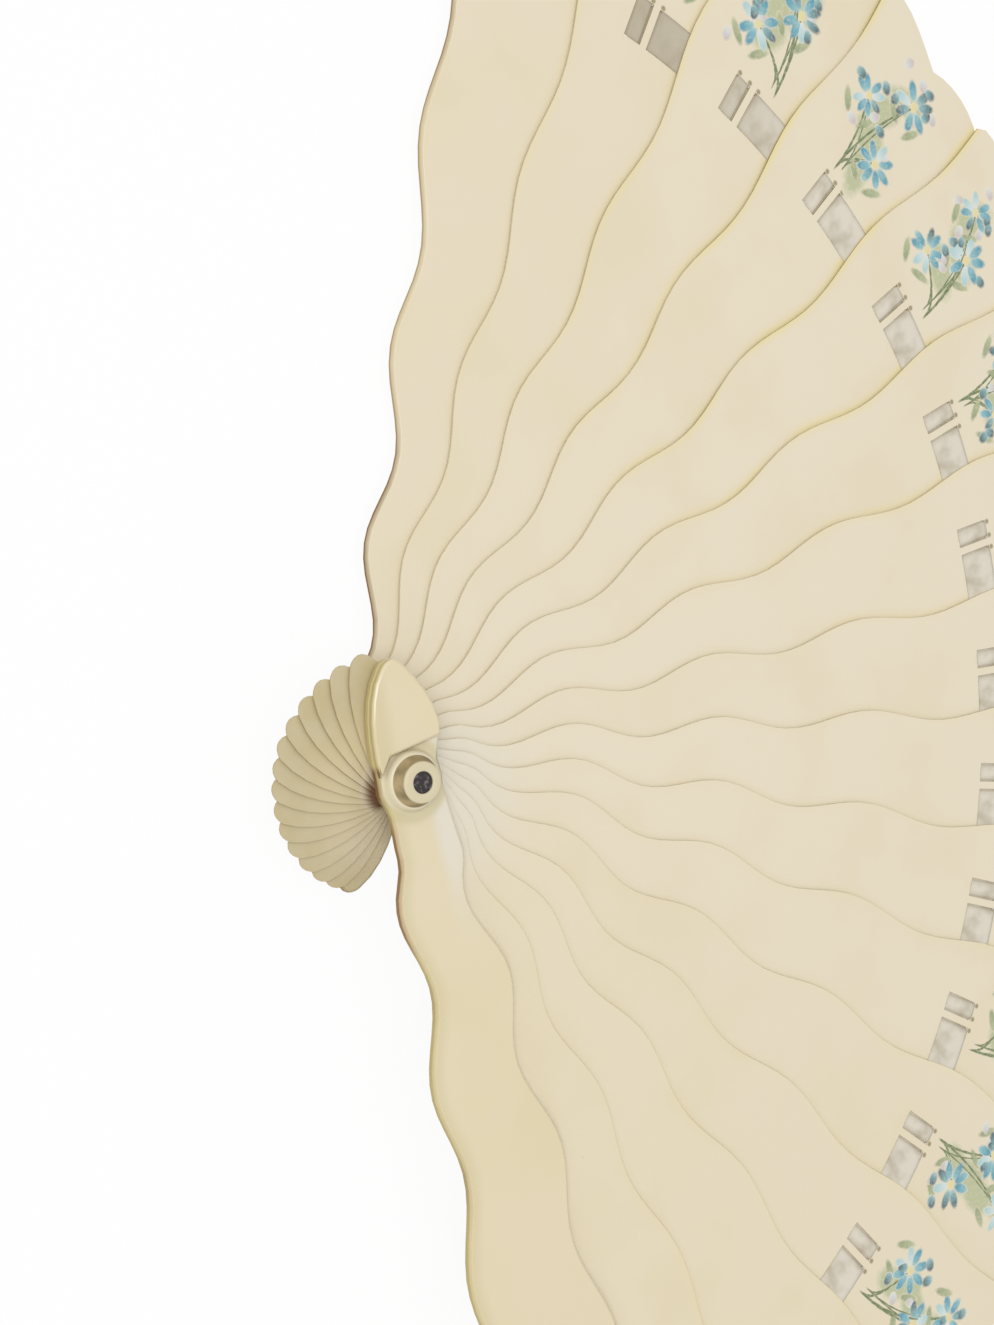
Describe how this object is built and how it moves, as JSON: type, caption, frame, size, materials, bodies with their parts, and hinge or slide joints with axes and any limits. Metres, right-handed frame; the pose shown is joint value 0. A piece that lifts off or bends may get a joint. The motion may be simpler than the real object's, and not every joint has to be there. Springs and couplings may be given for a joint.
{
  "type": "folding hand fan",
  "caption": "Open brise hand fan of overlapping wavy ivory-coloured sticks on one pin, with a silk ribbon woven through slits and painted flowers near the tips.",
  "frame": {"origin": "centre of the pivot pin's back end, in the plane of the back collar's underside", "axes": "+Z along the pin towards the front guard, +Y close to the back guard's length, +X to the side that the fan opens to"},
  "size_m": [0.2326, 0.3544, 0.0183],
  "materials": {
    "ivory": "satin, ivory coloured celluloid",
    "silk": "fine silk ribbon, soft sheen",
    "steel": "dull, darkened"
  },
  "bodies": {
    "back_guard": {"back_guard": "ivory", "pivot_pin": "steel", "front_collar": "ivory", "back_collar": "ivory", "ribbon_01": "silk"},
    "blade_01": {"blade_01": "ivory", "ribbon_02": "silk"},
    "blade_02": {"blade_02": "ivory", "ribbon_03": "silk"},
    "blade_03": {"blade_03": "ivory", "ribbon_04": "silk"},
    "blade_04": {"blade_04": "ivory", "ribbon_05": "silk"},
    "blade_05": {"blade_05": "ivory", "ribbon_06": "silk"},
    "blade_06": {"blade_06": "ivory", "ribbon_07": "silk"},
    "blade_07": {"blade_07": "ivory", "ribbon_08": "silk"},
    "blade_08": {"blade_08": "ivory", "ribbon_09": "silk"},
    "blade_09": {"blade_09": "ivory", "ribbon_10": "silk"},
    "blade_10": {"blade_10": "ivory", "ribbon_11": "silk"},
    "blade_11": {"blade_11": "ivory", "ribbon_12": "silk"},
    "blade_12": {"blade_12": "ivory", "ribbon_13": "silk"},
    "blade_13": {"blade_13": "ivory", "ribbon_14": "silk"},
    "blade_14": {"blade_14": "ivory", "ribbon_15": "silk"},
    "front_guard": {"front_guard": "ivory", "tail_plate": "ivory"}
  },
  "joints": [
    {"name": "fold_01", "type": "hinge", "parent": "back_guard", "child": "blade_01", "pos_m": [0, 0, 0], "axis": [0, 0, 1], "range_deg": [0, 10.6], "deforming": ["ribbon_01"]},
    {"name": "fold_02", "type": "hinge", "parent": "blade_01", "child": "blade_02", "pos_m": [0, 0, 0], "axis": [0, 0, 1], "range_deg": [0, 9.73], "deforming": ["ribbon_02"]},
    {"name": "fold_03", "type": "hinge", "parent": "blade_02", "child": "blade_03", "pos_m": [0, 0, 0], "axis": [0, 0, 1], "range_deg": [0, 10.31], "deforming": ["ribbon_03"]},
    {"name": "fold_04", "type": "hinge", "parent": "blade_03", "child": "blade_04", "pos_m": [0, 0, 0], "axis": [0, 0, 1], "range_deg": [0, 10.69], "deforming": ["ribbon_04"]},
    {"name": "fold_05", "type": "hinge", "parent": "blade_04", "child": "blade_05", "pos_m": [0, 0, 0], "axis": [0, 0, 1], "range_deg": [0, 10.31], "deforming": ["ribbon_05"]},
    {"name": "fold_06", "type": "hinge", "parent": "blade_05", "child": "blade_06", "pos_m": [0, 0, 0], "axis": [0, 0, 1], "range_deg": [0, 10.07], "deforming": ["ribbon_06"]},
    {"name": "fold_07", "type": "hinge", "parent": "blade_06", "child": "blade_07", "pos_m": [0, 0, 0], "axis": [0, 0, 1], "range_deg": [0, 10.37], "deforming": ["ribbon_07"]},
    {"name": "fold_08", "type": "hinge", "parent": "blade_07", "child": "blade_08", "pos_m": [0, 0, 0], "axis": [0, 0, 1], "range_deg": [0, 9.61], "deforming": ["ribbon_08"]},
    {"name": "fold_09", "type": "hinge", "parent": "blade_08", "child": "blade_09", "pos_m": [0, 0, 0], "axis": [0, 0, 1], "range_deg": [0, 9.72], "deforming": ["ribbon_09"]},
    {"name": "fold_10", "type": "hinge", "parent": "blade_09", "child": "blade_10", "pos_m": [0, 0, 0], "axis": [0, 0, 1], "range_deg": [0, 9.78], "deforming": ["ribbon_10"]},
    {"name": "fold_11", "type": "hinge", "parent": "blade_10", "child": "blade_11", "pos_m": [0, 0, 0], "axis": [0, 0, 1], "range_deg": [0, 10.43], "deforming": ["ribbon_11"]},
    {"name": "fold_12", "type": "hinge", "parent": "blade_11", "child": "blade_12", "pos_m": [0, 0, 0], "axis": [0, 0, 1], "range_deg": [0, 10.2], "deforming": ["ribbon_12"]},
    {"name": "fold_13", "type": "hinge", "parent": "blade_12", "child": "blade_13", "pos_m": [0, 0, 0], "axis": [0, 0, 1], "range_deg": [0, 10.04], "deforming": ["ribbon_13"]},
    {"name": "fold_14", "type": "hinge", "parent": "blade_13", "child": "blade_14", "pos_m": [0, 0, 0], "axis": [0, 0, 1], "range_deg": [0, 10.83], "deforming": ["ribbon_14"]},
    {"name": "fold_15", "type": "hinge", "parent": "blade_14", "child": "front_guard", "pos_m": [0, 0, 0], "axis": [0, 0, 1], "range_deg": [0, 9.84], "deforming": ["ribbon_15"]}
  ],
  "couplings": [
    {"joint": "fold_02", "follows": "fold_01", "ratio": 0.91698},
    {"joint": "fold_03", "follows": "fold_01", "ratio": 0.9717},
    {"joint": "fold_04", "follows": "fold_01", "ratio": 1.0075},
    {"joint": "fold_05", "follows": "fold_01", "ratio": 0.9717},
    {"joint": "fold_06", "follows": "fold_01", "ratio": 0.94906},
    {"joint": "fold_07", "follows": "fold_01", "ratio": 0.97736},
    {"joint": "fold_08", "follows": "fold_01", "ratio": 0.90566},
    {"joint": "fold_09", "follows": "fold_01", "ratio": 0.91604},
    {"joint": "fold_10", "follows": "fold_01", "ratio": 0.9217},
    {"joint": "fold_11", "follows": "fold_01", "ratio": 0.98302},
    {"joint": "fold_12", "follows": "fold_01", "ratio": 0.96132},
    {"joint": "fold_13", "follows": "fold_01", "ratio": 0.94623},
    {"joint": "fold_14", "follows": "fold_01", "ratio": 1.0208},
    {"joint": "fold_15", "follows": "fold_01", "ratio": 0.92736}
  ]
}
